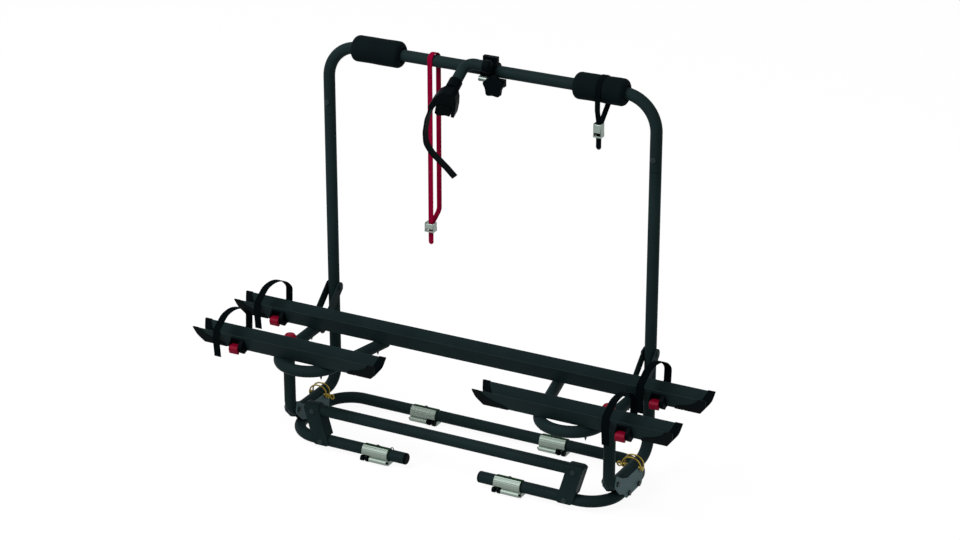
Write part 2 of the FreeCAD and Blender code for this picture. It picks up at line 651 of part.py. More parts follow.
legs.append(rod(6, 5, Vector(2.2 - BOW_X, *PIN), X * -1))
bow = node(join(legs), "left_pin_bow")
mirrored = doc.addObject("Part::Mirroring", "MirroredBow")
mirrored.Source = bow
mirrored.Normal = X
node(mirrored, "right_pin_bow")


# Straps: webbing bands, and the buckles that hold them
def wheel_strap(side, y, anchor, front):
    path = [(y + 22.2, RAIL_TOP - 20), (y + 31.6, RAIL_TOP + 1, 8), (y + 32.5, RAIL_TOP + 40, 26),
            (y + 13, RAIL_TOP + 68, 20), (y - 14, RAIL_TOP + 46, 40), (y - 31.2, RAIL_TOP + 6, 20),
            (y - 33, RAIL_TOP - 20, 20), (y - 31, RAIL_TOP - 68)]
    wide = size("wheelStrapWidth")
    edges = outline(band(path, size("strapThick")))
    face = Part.Face(Part.Wire([edge.toShape() for edge in edges]))
    solid = face.extrude(Vector(0, 0, wide))
    spread = 2 * LIP
    lean = (front - anchor) / -spread
    turn = Matrix(0, 0, 1, anchor, 1, 0, 0, 0, 0, 1, 0, 0, 0, 0, 0, 1)
    skew = Matrix(1, lean, 0, -wide / 2 - lean * (y + LIP), 0, 1, 0, 0, 0, 0, 1, 0, 0, 0, 0, 1)
    return solid.transformGeometry(skew.multiply(turn))


def cast(shape, label):
    part = doc.addObject("Part::Feature", label)
    part.Shape = shape
    part.Placement = Placement()
    return part


RATCHET_X = TIP - 129
frames = []
for y, row in ((REAR_RAIL, "rear"), (FRONT_RAIL, "front")):
    straps = [wheel_strap(-1, y, -RATCHET_X, -RATCHET_X - 55), wheel_strap(1, y, RATCHET_X, RATCHET_X - 42)]
    node(cast(Part.Compound(straps), "WheelStraps"), row + "_wheel_straps")
    for side, name in ((-1, "left"), (1, "right")):
        steep = math.atan2(DEEP, LIP - FLOOR)
        rise = Vector(-math.cos(steep), math.sin(steep), 0)
        out = Vector(-math.sin(steep), -math.cos(steep), 0)
        foot = Vector(y - LIP + 28 * (LIP - FLOOR) / DEEP, RAIL_TOP - 28, 0)

        def local(points):
            spots = [(foot + rise * point[0] + out * point[1], point[2:]) for point in points]
            return outline([(spot.x, spot.y) + tuple(rest) for spot, rest in spots])

        middle = side * RATCHET_X
        pivot = foot + rise * 2 + out * 9
        seat = local([(-18, 0), (-18, 2.5, 1), (22, 2.5, 1), (22, 0)])
        plate = prism("Seat", "YZ_Plane", seat, middle - 17, 37.5)
        cheek = [(-17, 2), (-16, 15, 5), (-4, 21, 6), (13, 20, 8), (21, 2)]
        cheeks = [prism("Cheek", "YZ_Plane", local(cheek), middle + start, thick)
                  for start, thick in ((-17, 2.5), (10.5, 10))]
        hole = rod(2.5, 40, Vector(middle - 20, pivot.x, pivot.y), X)
        frames.append(cut(join([plate] + cheeks), [hole]))
        paddle = [(-2, 4.8, 2), (6, 4.8, 2), (12, 19, 5), (8, 27, 4), (-6, 29, 3), (-11, 24, 2), (-6, 14, 4)]
        lever = prism("Lever", "YZ_Plane", local(paddle), middle - 14, 24)
        axle = rod("2.5 - Sizes.runningFit", 31, Vector(middle - 17, pivot.x, pivot.y), X)
        node(join([lever, axle]), "%s_%s_ratchet_lever" % (row, name))
node(group(frames), "ratchet_frames")


def loop_strap(name, middle, wide, path):
    edges = outline(band([(UPRIGHT + spot[0],) + tuple(spot[1:]) for spot in path], size("strapThick")))
    return node(prism(name, "YZ_Plane", edges, middle - wide / 2, wide), name)


# A cam buckle: back plate and two cheeks, and a lever hung between them
def buckle(middle, half, back, front, low, high):
    deep = [(UPRIGHT + front, low, 2), (UPRIGHT + back + 1, low), (UPRIGHT + back + 1, high),
            (UPRIGHT + front, high, 2)]
    cheeks = [prism("Cheek", "YZ_Plane", outline(deep), middle + start, 2) for start in (-half, half - 2)]
    plate = block((middle - half, UPRIGHT + back, low), (middle + half, UPRIGHT + back + 2, low + 11))
    lip = block((middle - half, UPRIGHT + front - 1, low), (middle + half, UPRIGHT + front + 2, low + 4))
    pivot = Vector(middle - half - 1, UPRIGHT + front + 4, high - 6)
    hole = rod(2, 2 * half + 2, pivot, X)
    return cut(join(cheeks + [plate, lip]), [hole])


def cam_lever(middle, half, front, low, high, label):
    y = UPRIGHT + front + 4
    z = high - 6
    low += 4 + (high - low) * 0.33
    shape = [(y - 3, z + 4, 2), (y + 3, z + 3, 2), (y + 2.5, z - 3, 2), (y - 2, low - 3, 1),
             (y - 6, low - 4, 1)]
    paddle = prism("Paddle", "YZ_Plane", outline(shape), middle - half + 2.3, 2 * half - 4.6)
    axle = rod("2 - Sizes.runningFit", 2 * half, Vector(middle - half, y, z), X)
    return node(join([paddle, axle]), label)


PAD_STRAP_X, LOAD_STRAP_X = PAD_MIDDLE + 5.4, -154
PAD_BUCKLE = (HOOP - 113.6, HOOP - 78.6)
LOAD_BUCKLE = (HOOP - 448.6, HOOP - 424.6)
round_pad = size("padDia") / 2 + size("strapThick") / 2
crest = HOOP + round_pad
loop_strap("pad_strap", PAD_STRAP_X, size("padStrapWidth"), [
    (-24, HOOP - 146.6), (-24, HOOP - 81.6, 20), (-round_pad, HOOP - 44.6, 20),
    (-round_pad, crest, round_pad), (round_pad, crest, round_pad), (round_pad, HOOP - 38.6, 20),
    (-19, HOOP - 88.6, 8), (-19, HOOP - 110.6)])
round_bar = TUBE + size("strapThick") / 2
crest = HOOP + round_bar
LOAD_LEAN = 7 / (2 * round_bar)
slack = 5
path = [(-round_bar, HOOP - 484.6), (-round_bar, crest + slack, round_bar),
        (round_bar, crest + slack, round_bar), (round_bar, HOOP - 400.6, 22),
        (-round_bar + 5, HOOP - 428.6, 8), (-round_bar + 5, HOOP - 444.6)]
strip = Part.Face(Part.Wire([edge.toShape() for edge in outline(band(path, size("strapThick")))]))
width = size("loadStrapWidth")
edge_x = LOAD_STRAP_X - width / 2 + LOAD_LEAN * round_bar
to_frame = Matrix(LOAD_LEAN, 0, 1, edge_x, 1, 0, 0, UPRIGHT, 0, 1, 0, 0, 0, 0, 0, 1)
node(cast(strip.extrude(Vector(0, 0, width)).transformGeometry(to_frame), "LoadStrap"), "load_strap")
pad_buckle = buckle(PAD_STRAP_X, 11, -17.8, -33, *PAD_BUCKLE)
load_buckle = buckle(LOAD_STRAP_X, 13, -9.7, -26, *LOAD_BUCKLE)
node(group([pad_buckle, load_buckle]), "cam_buckles")
cam_lever(PAD_STRAP_X, 11, -33, *PAD_BUCKLE, "pad_buckle_lever")
cam_lever(LOAD_STRAP_X, 13, -26, *LOAD_BUCKLE, "load_buckle_lever")

# Bike arm: a two-part clamp on the top bar, a bent tube and a claw
CLAMP_LEFT, CLAMP_WIDE = -12, 39
BORE = TUBE + size("runningFit")
GRIP = 22
BOSS = (UPRIGHT - 32, HOOP + 20)
ARM = size("armDia") / 2
knob_at = Vector(35, UPRIGHT, HOOP - 26)
KNOB_FACE = 32
BOSS_START, BOSS_LONG = 6, 19
halves = []
for way in (-1, 1):
    start, end = (92, 268) if way < 0 else (-88, 88)
    ring = sector((UPRIGHT, HOOP), BORE, GRIP, start, end)
    parts = [prism("Half", "YZ_Plane", ring, CLAMP_LEFT, CLAMP_WIDE)]
    near, far = sorted((way * 0.6, way * 6))
    for low, high, shift in ((GRIP - 3, 36.5, 0), (-37, 3 - GRIP, 20)):
        parts.append(block((CLAMP_LEFT + shift, UPRIGHT + near, HOOP + low),
                           (CLAMP_LEFT + CLAMP_WIDE + shift, UPRIGHT + far, HOOP + high)))
    tools = [rod(4.05, 60, knob_at - Y * 30, Y)]
    if way < 0:
        profile = [(0, 0), (0, ARM + 2), (BOSS_LONG, ARM + 2, 7), (BOSS_LONG, 0)]
        parts.append(turned("Boss", profile, Vector(BOSS_START, *BOSS), X))
        boss_end = BOSS_START + BOSS_LONG - 3
        parts.append(block((BOSS_START, BOSS[0], HOOP + 4), (boss_end, UPRIGHT - 4, HOOP + 20)))
        tools += [rod(ARM, BOSS_LONG - 5, Vector(BOSS_START, *BOSS), X),
                  rod(BORE, CLAMP_WIDE, Vector(CLAMP_LEFT, UPRIGHT, HOOP), X),
                  rod(8.3, KNOB_FACE - 6, knob_at - Y * KNOB_FACE, Y)]
    halves.append(cut(join(parts), tools))
node(halves[0], "block_clamp_front")
node(halves[1], "block_clamp_rear")

knob_body = []
LOBES = 5
star = []
for index in range(LOBES * 2):
    turn = math.radians(90 + 360 / LOBES * index / 2)
    radius = 31 if index % 2 == 0 else 22
    star.append((knob_at.x + radius * math.cos(turn), knob_at.z + radius * math.sin(turn), 7))
knob = prism("StarKnob", "XZ_Plane", outline(star), -UPRIGHT + KNOB_FACE, 15)
neck = rod(8, KNOB_FACE - 6.5, knob_at - Y * KNOB_FACE, Y)
stud = rod(4, KNOB_FACE + 16, knob_at - Y * (KNOB_FACE + 4), Y)
node(join([knob, neck, stud]), "star_knob")
node(rod(6.8, 22, Vector(CLAMP_LEFT, UPRIGHT - 24.1, HOOP - 16.1), X), "block_barrel_nut")

LEAN = math.degrees(math.atan2(0.505, 0.863))
tilt = Rotation(X, LEAN)
corner_x, reach = -44, 82
at = Placement(Vector(0, *BOSS), tilt)
arm_start = BOSS_START + BOSS_LONG - 5
path = [(arm_start, 0), (CLAMP_LEFT - 2, 0, 25), (corner_x, 11, 24), (corner_x, -reach)]
ring_at = (*BOSS, arm_start)
node(tube("BikeArm", "XY_Plane", at, path, "YZ_Plane", ring_at, "Sizes.armDia / 2", "Sizes.armDia / 2 - 2"),
     "bike_arm")

# The claw sits square to the arm's end; its outline is (across, up, radius)
forward = tilt.multVec(Y * -1)
upward = tilt.multVec(Z)
arm_end = Vector(corner_x, *BOSS)


def along_arm(distance):
    return arm_end + forward * distance


collar = join([rod(17, 27, along_arm(60), forward), rod(6, 8, along_arm(87), forward)])
node(cut(collar, [rod("Sizes.armDia / 2", reach - 60, along_arm(60), forward)]), "arm_collar")


def claw_prism(name, points, start, deep):
    body = doc.addObject("PartDesign::Body", name)
    sketch = new_sketch(body, "XY_Plane", (0, 0, 0))
    sketch.addGeometry(outline(points), False)
    pad = body.newObject("PartDesign::Pad", "Pad")
    pad.Profile = sketch
    pad.Length = deep
    body.Tip = pad
    body.Placement = Placement(along_arm(start), Rotation(X, upward, forward, "XYZ"))
    return body


claw_points = [(-14, 10, 8), (-28, 0, 14), (-46, -20, 20), (-59, -38, 16), (-71, -56, 4), (-62, -65, 4),
               (-47, -48, 12), (-27, -33, 12), (0, -42, 4), (-14, -79, 3), (-5, -80, 3), (9, -46, 18),
               (17, -20, 18), (20, 2, 10), (14, 12, 6)]
CLAW_DEEP = 25
claw = claw_prism("Claw", claw_points, 87.3, CLAW_DEEP)
node(cut(claw, [rod(6 + size("runningFit"), 9, along_arm(87), forward)]), "claw")
pad_points = [(-27, -34.5, 6), (-2, -43, 3), (-15.5, -77, 3), (-28, -75, 6), (-50, -81, 3), (-56, -72, 3),
              (-48, -51, 5)]
node(claw_prism("ClawPad", pad_points, 88.5, CLAW_DEEP), "claw_pad")

strap_path = [(-108, -82.6), (-122, -117.6, 40), (-128, -152.6, 60), (-126, -182.6, 30), (-110, -204.6, 20),
              (-68, -238.6, 30), (-46, -258.6)]
strap_points = [(spot[0], HOOP + spot[1]) + tuple(spot[2:]) for spot in strap_path]
tongue = prism("ClawStrap", "XZ_Plane", outline(band(strap_points, 4.5)), 100 - UPRIGHT - 22, 22)
node(cut(tongue, [claw_prism("ClawSeat", claw_points, 87.3, CLAW_DEEP)]), "claw_strap")

doc.recompute()
for item in doc.Objects:
    if "Invalid" in item.State or "Error" in item.State:
        raise RuntimeError("%s failed: %s" % (item.Name, item.State))
for item in NODES:
    if item.Shape.isNull() or not item.Shape.isValid():
        raise RuntimeError("%s has no valid shape" % item.Label)
os.makedirs("parts", exist_ok=True)
for item in NODES:
    item.Shape.exportStep("parts/%s.step" % item.Label)
print("%d nodes, %d solids" % (len(NODES), sum(len(item.Shape.Solids) for item in NODES)))
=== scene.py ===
import json
import math
import bmesh
import bpy
from mathutils import Matrix, Vector


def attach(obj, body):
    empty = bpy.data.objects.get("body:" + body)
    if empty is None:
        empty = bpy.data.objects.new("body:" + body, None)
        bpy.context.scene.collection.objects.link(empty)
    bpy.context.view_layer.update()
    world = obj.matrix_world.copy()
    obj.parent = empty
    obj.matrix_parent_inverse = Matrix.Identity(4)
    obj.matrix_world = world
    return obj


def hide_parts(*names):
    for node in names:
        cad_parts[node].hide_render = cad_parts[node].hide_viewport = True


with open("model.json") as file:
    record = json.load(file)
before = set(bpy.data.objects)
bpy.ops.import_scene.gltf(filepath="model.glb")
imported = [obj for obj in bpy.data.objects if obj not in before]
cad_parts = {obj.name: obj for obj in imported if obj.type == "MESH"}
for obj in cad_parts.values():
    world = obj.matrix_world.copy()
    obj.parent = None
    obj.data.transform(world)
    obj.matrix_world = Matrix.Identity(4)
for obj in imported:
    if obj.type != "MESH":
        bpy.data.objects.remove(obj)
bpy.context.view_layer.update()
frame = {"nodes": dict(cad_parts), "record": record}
nodes = frame["nodes"]

# Camera, floor and light
cameraView = {"place": (2.88643, -5.48765, 3.13899), "turn": (67.019, 0.0, 27.534),
              "lens": 101.46, "sensor": 36}
camera = bpy.data.objects.new("camera", bpy.data.cameras.new("camera"))
camera.location = cameraView["place"]
camera.rotation_euler = [math.radians(angle) for angle in cameraView["turn"]]
camera.data.lens = cameraView["lens"]
camera.data.sensor_width = cameraView["sensor"]
bpy.context.collection.objects.link(camera)
bpy.context.scene.camera = camera
bpy.context.scene.view_settings.view_transform = "Standard"

white = (1, 1, 1, 1)
lamps = {"keyLamp": {"place": (-1.6, -2.6, 4.0), "width": 2.6, "power": 152},
         "sideLamp": {"place": (4.2, -1.2, 2.4), "width": 2.2, "power": 12}}
lampTarget = Vector((0, 0, 0.4))
worldFill = 0.45
floorLook = {"size": 30, "low": -0.0005, "grey": 0.55, "glow": 1.16, "share": 0.8}


def addNode(tree, kind, **sockets):
    made = tree.nodes.new(kind)
    for name, value in sockets.items():
        if name in made.inputs:
            made.inputs[name].default_value = value
        else:
            setattr(made, name, value)
    return made


# 1 for what the eye sees, straight or mirrored or through glass, and 0 for what only lights others
def seenShare(tree):
    path = addNode(tree, "ShaderNodeLightPath")
    share = path.outputs["Is Camera Ray"]
    for kind in ("Is Glossy Ray", "Is Transmission Ray"):
        either = addNode(tree, "ShaderNodeMath", operation="MAXIMUM")
        tree.links.new(share, either.inputs[0])
        tree.links.new(path.outputs[kind], either.inputs[1])
        share = either.outputs[0]
    return share


def mixInto(tree, share, first, second, target):
    mix = addNode(tree, "ShaderNodeMixShader")
    tree.links.new(share, mix.inputs[0])
    tree.links.new(first.outputs[0], mix.inputs[1])
    tree.links.new(second.outputs[0], mix.inputs[2])
    tree.links.new(mix.outputs[0], target.inputs[0])


world = bpy.data.worlds.new("softWorld")
world.use_nodes = True
worldTree = world.node_tree
worldTree.nodes.clear()
mixInto(worldTree, seenShare(worldTree),
        addNode(worldTree, "ShaderNodeBackground", Color=white, Strength=worldFill),
        addNode(worldTree, "ShaderNodeBackground", Color=white, Strength=1.0),
        addNode(worldTree, "ShaderNodeOutputWorld"))
bpy.context.scene.world = world

for name, spec in lamps.items():
    lampData = bpy.data.lights.new(name, "AREA")
    lampData.size = spec["width"]
    lampData.energy = spec["power"]
    lamp = bpy.data.objects.new(name, lampData)
    lamp.location = spec["place"]
    lamp.rotation_euler = (lampTarget - Vector(spec["place"])).to_track_quat("-Z", "Y").to_euler()
    bpy.context.collection.objects.link(lamp)

floorMesh = bmesh.new()
bmesh.ops.create_grid(floorMesh, x_segments=1, y_segments=1, size=floorLook["size"],
                      matrix=Matrix.Translation((0, 0, floorLook["low"])))
floorData = bpy.data.meshes.new("floor")
floorMesh.to_mesh(floorData)
floorMesh.free()
floor = bpy.data.objects.new("floor", floorData)
bpy.context.collection.objects.link(floor)

pale = bpy.data.materials.new("paleFloor")
pale.use_nodes = True
paleTree = pale.node_tree
paleTree.nodes.clear()
glowShare = addNode(paleTree, "ShaderNodeMath", operation="MULTIPLY")
glowShare.inputs[1].default_value = floorLook["share"]
paleTree.links.new(seenShare(paleTree), glowShare.inputs[0])
mixInto(paleTree, glowShare.outputs[0],
        addNode(paleTree, "ShaderNodeBsdfDiffuse", Color=[floorLook["grey"]] * 3 + [1]),
        addNode(paleTree, "ShaderNodeEmission", Color=white, Strength=floorLook["glow"]),
        addNode(paleTree, "ShaderNodeOutputMaterial"))
floorData.materials.append(pale)
print("camera, floor and light ready")

# Finishes: what each has unless its own table says otherwise, then what all of them share
plainFinish = {"metal": 0, "specular": 0.5, "stretch": (1, 1, 1), "spread": 0.18, "deep": 0.0002}
grainLook = {"patch": 7, "patchDetail": 4, "patchRough": 0.6, "detail": 3, "rough": 0.55,
             "fleck": 0.25, "low": 0.3, "high": 0.7, "ribBump": 0.5, "ribDeep": 0.0006}
webLook = {"specular": 0.015, "turns": (35, -35), "threads": 260, "wobble": 0.6, "dark": 0.55,
           "light": 1.35, "fuzz": 60, "rough": (0.6, 0.85), "bump": 0.5, "deep": 0.0003}
colourA, colourB, colourOut = 6, 7, 2  # the colour sockets of a mix node


def newMaterial(name, specular):
    material = bpy.data.materials.new(name)
    material.use_nodes = True
    tree = material.node_tree
    shader = tree.nodes["Principled BSDF"]
    shader.inputs["Specular IOR Level"].default_value = specular
    return material, tree, shader, addNode(tree, "ShaderNodeTexCoord")


def linkGloss(tree, noise, rough, shader):
    gloss = addNode(tree, "ShaderNodeMapRange")
    gloss.inputs["To Min"].default_value, gloss.inputs["To Max"].default_value = rough
    tree.links.new(noise.outputs["Fac"], gloss.inputs["Value"])
    tree.links.new(gloss.outputs["Result"], shader.inputs["Roughness"])


# A fine grain in the bump, and slow changes of tone and gloss
def makeFinish(name, spec):
    spec = {**plainFinish, **spec}
    material, tree, shader, coords = newMaterial(name, spec["specular"])
    shader.inputs["Metallic"].default_value = spec["metal"]
    place = addNode(tree, "ShaderNodeMapping", Scale=spec["stretch"])
    tree.links.new(coords.outputs["Object"], place.inputs["Vector"])
    slow = addNode(tree, "ShaderNodeTexNoise", Scale=grainLook["patch"],
                   Detail=grainLook["patchDetail"], Roughness=grainLook["patchRough"])
    fine = addNode(tree, "ShaderNodeTexNoise", Scale=spec["grain"],
                   Detail=grainLook["detail"], Roughness=grainLook["rough"])
    tree.links.new(coords.outputs["Object"], slow.inputs["Vector"])
    tree.links.new(place.outputs["Vector"], fine.inputs["Vector"])
    tone = addNode(tree, "ShaderNodeValToRGB")
    dark, bright = tone.color_ramp.elements
    dark.position, bright.position = grainLook["low"], grainLook["high"]
    dark.color = [c * (1 - spec["spread"]) for c in spec["colour"]] + [1]
    bright.color = [c * (1 + spec["spread"]) for c in spec["colour"]] + [1]
    tree.links.new(slow.outputs["Fac"], tone.inputs["Fac"])
    speck = addNode(tree, "ShaderNodeMix", data_type="RGBA", blend_type="MULTIPLY")
    speck.inputs["Factor"].default_value = grainLook["fleck"]
    tree.links.new(tone.outputs["Color"], speck.inputs[colourA])
    tree.links.new(fine.outputs["Color"], speck.inputs[colourB])
    tree.links.new(speck.outputs[colourOut], shader.inputs["Base Color"])
    linkGloss(tree, slow, spec["rough"], shader)
    bump = addNode(tree, "ShaderNodeBump", Strength=spec["bump"], Distance=spec["deep"])
    tree.links.new(fine.outputs["Fac"], bump.inputs["Height"])
    if "ribs" in spec:  # extruded metal has fine ribs across its height
        ribs = addNode(tree, "ShaderNodeTexWave", Scale=spec["ribs"], Distortion=0,
                       bands_direction="Z")
        tree.links.new(coords.outputs["Object"], ribs.inputs["Vector"])
        raised = addNode(tree, "ShaderNodeBump", Strength=grainLook["ribBump"],
                         Distance=grainLook["ribDeep"])
        tree.links.new(ribs.outputs["Fac"], raised.inputs["Height"])
        tree.links.new(bump.outputs["Normal"], raised.inputs["Normal"])
        bump = raised
    tree.links.new(bump.outputs["Normal"], shader.inputs["Normal"])
    return material


# Woven webbing: threads follow the piece's own UV map, in metres across and along the band
def makeWebbing(name, colour):
    material, tree, shader, coords = newMaterial(name, webLook["specular"])
    weave = addNode(tree, "ShaderNodeMath", operation="MULTIPLY")
    for index, angle in enumerate(webLook["turns"]):
        turned = addNode(tree, "ShaderNodeMapping", Rotation=(0, 0, math.radians(angle)))
        tree.links.new(coords.outputs["UV"], turned.inputs["Vector"])
        wave = addNode(tree, "ShaderNodeTexWave", Scale=webLook["threads"],
                       Distortion=webLook["wobble"], Detail=1)
        tree.links.new(turned.outputs["Vector"], wave.inputs["Vector"])
        tree.links.new(wave.outputs["Fac"], weave.inputs[index])
    tone = addNode(tree, "ShaderNodeValToRGB")
    dark, bright = tone.color_ramp.elements
    dark.color = [c * webLook["dark"] for c in colour] + [1]
    bright.color = [min(1, c * webLook["light"]) for c in colour] + [1]
    tree.links.new(weave.outputs[0], tone.inputs["Fac"])
    tree.links.new(tone.outputs["Color"], shader.inputs["Base Color"])
    fuzz = addNode(tree, "ShaderNodeTexNoise", Scale=webLook["fuzz"], Detail=3)
    tree.links.new(coords.outputs["Object"], fuzz.inputs["Vector"])
    linkGloss(tree, fuzz, webLook["rough"], shader)
    bump = addNode(tree, "ShaderNodeBump", Strength=webLook["bump"], Distance=webLook["deep"])
    tree.links.new(weave.outputs[0], bump.inputs["Height"])
    tree.links.new(bump.outputs["Normal"], shader.inputs["Normal"])
    return material


finishes = {
    "frame_paint": makeFinish("framePaint", {
        "colour": (0.0126, 0.0246, 0.0262), "rough": (0.42, 0.52), "specular": 0.015,
        "grain": 650, "bump": 0.12}),
    "plate_paint": makeFinish("platePaint", {
        "colour": (0.082, 0.139, 0.150), "rough": (0.42, 0.52), "specular": 0.04,
        "grain": 600, "bump": 0.12}),
    "black_plastic": makeFinish("blackPlastic", {
        "colour": (0.0016, 0.0034, 0.0044), "rough": (0.45, 0.58), "specular": 0.015,
        "grain": 1100, "bump": 0.2}),
    "black_rubber": makeFinish("blackRubber", {
        "colour": (0.002, 0.0035, 0.0042), "rough": (0.65, 0.8), "specular": 0.02,
        "grain": 900, "bump": 0.2}),
    "black_foam": makeFinish("blackFoam", {
        "colour": (0.0044, 0.0086, 0.0098), "rough": (0.6, 0.78), "specular": 0.012,
        "grain": 420, "bump": 0.35, "deep": 0.0004}),
    "liner_rubber": makeFinish("linerRubber", {
        "colour": (0.008, 0.038, 0.012), "rough": (0.6, 0.75), "specular": 0.04,
        "grain": 800, "bump": 0.2}),
    "clamp_metal": makeFinish("clampMetal", {
        "colour": (0.25, 0.31, 0.27), "rough": (0.42, 0.52), "metal": 0.7,
        "stretch": (0.03, 1, 1), "grain": 900, "bump": 0.12, "spread": 0.06, "ribs": 78}),
    "zinc_steel": makeFinish("zincSteel", {
        "colour": (0.29, 0.35, 0.32), "rough": (0.34, 0.46), "metal": 0.85,
        "grain": 500, "bump": 0.08, "spread": 0.1}),
    "black_steel": makeFinish("blackSteel", {
        "colour": (0.020, 0.033, 0.035), "rough": (0.35, 0.45), "specular": 0.08,
        "grain": 700, "bump": 0.1}),
    "gold_zinc": makeFinish("goldZinc", {
        "colour": (0.28, 0.205, 0.032), "rough": (0.3, 0.42), "metal": 0.9,
        "grain": 500, "bump": 0.08, "spread": 0.2}),
    "red_plastic": makeFinish("redPlastic", {
        "colour": (0.225, 0.0012, 0.0195), "rough": (0.35, 0.45), "specular": 0.05,
        "grain": 1000, "bump": 0.1, "spread": 0.08}),
    "black_webbing": makeWebbing("blackWebbing", (0.0016, 0.0036, 0.0048)),
    "red_webbing": makeWebbing("redWebbing", (0.32, 0.002, 0.034)),
}
slotOf, bodyOf = {}, {}
for entry in frame["record"]["subparts"]:
    slotOf[entry["node"]] = entry["material_slot"]
    mesh = nodes[entry["node"]].data
    mesh.materials.clear()
    mesh.materials.append(finishes[entry["material_slot"]])
for body, members in frame["record"]["behaviour"]["bodies"].items():
    for member in members:
        bodyOf[member] = body
print("finishes ready")

# Places that several pieces share, in metres
sides = ((-1, "left"), (1, "right"))
rearRow, frontRow = -0.0283, -0.2246
hoopHalf, hoopSetback, hoopHeight, jointHeight = 0.4525, 0.0925, 1.0066, 0.822
weldGap, spinWeldGap, flatAngle = 2e-6, 1e-6, math.radians(0.5)
edgeSegments, creaseAngle, webCreaseAngle = 2, math.radians(35), math.radians(50)


# Puts a finished mesh in the scene, on a CAD node's body, in its place or beside it
def dress(name, shape, node, replaced=True, slot=None):
    mesh = bpy.data.meshes.new(name)
    shape.to_mesh(mesh)
    shape.free()
    piece = bpy.data.objects.new(name, mesh)
    bpy.context.collection.objects.link(piece)
    slot = slot or slotOf[node]
    mesh.materials.append(finishes[slot])
    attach(piece, bodyOf[node])
    if replaced:
        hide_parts(node)
    return piece


def smoothFaces(piece, crease):
    piece.data.shade_smooth()
    piece.data.set_sharp_from_angle(angle=crease)


def easeEdges(piece, width):
    smoothFaces(piece, creaseAngle)
    edges = piece.modifiers.new("edges", "BEVEL")
    edges.width = width
    edges.segments = edgeSegments
    edges.limit_method = "ANGLE"
    edges.angle_limit = creaseAngle
    edges.harden_normals = True


# A node's own shape, welded and with its flat faces whole, so that its edges can be eased
def nodeShape(node):
    shape = bmesh.new()
    shape.from_mesh(nodes[node].data)
    bmesh.ops.remove_doubles(shape, verts=shape.verts, dist=weldGap)
    bmesh.ops.dissolve_limit(shape, angle_limit=flatAngle, verts=shape.verts, edges=shape.edges)
    return shape


easing = {
    "claw": 0.0022, "claw_pad": 0.0016, "star_knob": 0.0018, "arm_collar": 0.0015,
    "block_clamp_front": 0.001, "block_clamp_rear": 0.001, "ratchet_frames": 0.0007,
    "rear_left_ratchet_lever": 0.0012, "rear_right_ratchet_lever": 0.0012,
    "front_left_ratchet_lever": 0.0012, "front_right_ratchet_lever": 0.0012,
    "rail_end_caps": 0.0009, "rear_rail": 0.0006, "left_front_rail": 0.0006,
    "right_front_rail": 0.0006, "left_outer_hinge_plate": 0.0005, "left_inner_hinge_plate": 0.0005,
    "right_outer_hinge_plate": 0.0005, "right_inner_hinge_plate": 0.0005, "strut_plates": 0.0005,
    "clamp_jaws": 0.0006, "clamp_liners": 0.0004, "base_bolts": 0.0004, "pivot_bolts": 0.0004,
    "strut_bolts": 0.0004, "cam_buckles": 0.0004, "pad_buckle_lever": 0.0004,
    "load_buckle_lever": 0.0004, "claw_strap": 0.0009, "clamp_pins": 0.0003,
}
otherSlot = {"clamp_pins": "black_plastic"}
for node, width in easing.items():
    easeEdges(dress(node + "_eased", nodeShape(node), node, slot=otherSlot.get(node)), width)

# The pressed brackets curve over the bar: their flat roof is bent down towards both faces
roof = {"half": 0.01725, "radius": 0.0135, "turns": (15, 30, 45, 60, 75), "least": 0.1,
        "cutGap": 1e-6, "easing": 0.0006}
for node in ("left_cross_bar_bracket", "right_cross_bar_bracket"):
    shape = nodeShape(node)
    high = max(vert.co.z for vert in shape.verts)
    depths = [vert.co.y for vert in shape.verts]
    middle = (max(depths) + min(depths)) / 2
    flat = roof["half"] - roof["radius"]
    for turn in roof["turns"]:
        for side in (-1, 1):
            bend = flat + roof["radius"] * math.sin(math.radians(turn))
            bmesh.ops.bisect_plane(shape, geom=shape.verts[:] + shape.edges[:] + shape.faces[:],
                                   plane_co=(0, middle + side * bend, 0), plane_no=(0, 1, 0),
                                   dist=roof["cutGap"])
    centre = high - roof["radius"]
    for vert in shape.verts:
        past = max(abs(vert.co.y - middle) - flat, 0) / roof["radius"]
        if vert.co.z > centre:
            scale = max(math.sqrt(max(1 - past * past, 0)), roof["least"])
            vert.co.z = centre + (vert.co.z - centre) * scale
    easeEdges(dress(node + "_eased", shape, node), roof["easing"])
print("edges eased")


# A flat plate with the given corners, as a closed piece
def addPlate(shape, corners, thick):
    lower = [shape.verts.new(corner) for corner in corners]
    upper = [shape.verts.new(corner + thick) for corner in corners]
    shape.faces.new(lower)
    shape.faces.new(upper[::-1])
    for index, corner in enumerate(lower):
        after = (index + 1) % len(lower)
        shape.faces.new((corner, upper[index], upper[after], lower[after]))


# Each rail cap has a long tongue on both walls and under the floor.
# Corners are (from the tip, up the wall)
tongueSizes = {
    "edge": [(0.026, 0.036), (0.030, 0.032), (0.036, 0.0275), (0.043, 0.0235), (0.051, 0.0195),
             (0.060, 0.0163), (0.070, 0.0136), (0.078, 0.0112), (0.084, 0.0082), (0.0875, 0.0045),
             (0.089, 0.0)],
    "root": [(0.066, 0.0), (0.042, 0.007), (0.034, 0.02)], "thick": 0.00155, "floor": 0.01,
    "slope": 20 / 44, "low": 0.275, "under": (0.066, 0.089), "spare": 0.001, "easing": 0.0005,
}
outerTip, innerTip = 0.666, 0.1353
railTips = [(-outerTip, -1, rearRow), (outerTip, 1, rearRow), (-outerTip, -1, frontRow),
            (-innerTip, 1, frontRow), (innerTip, -1, frontRow), (outerTip, 1, frontRow)]
tongues = bmesh.new()
slope, low, thick = tongueSizes["slope"], tongueSizes["low"], tongueSizes["thick"]
wallLength = math.hypot(1, slope)
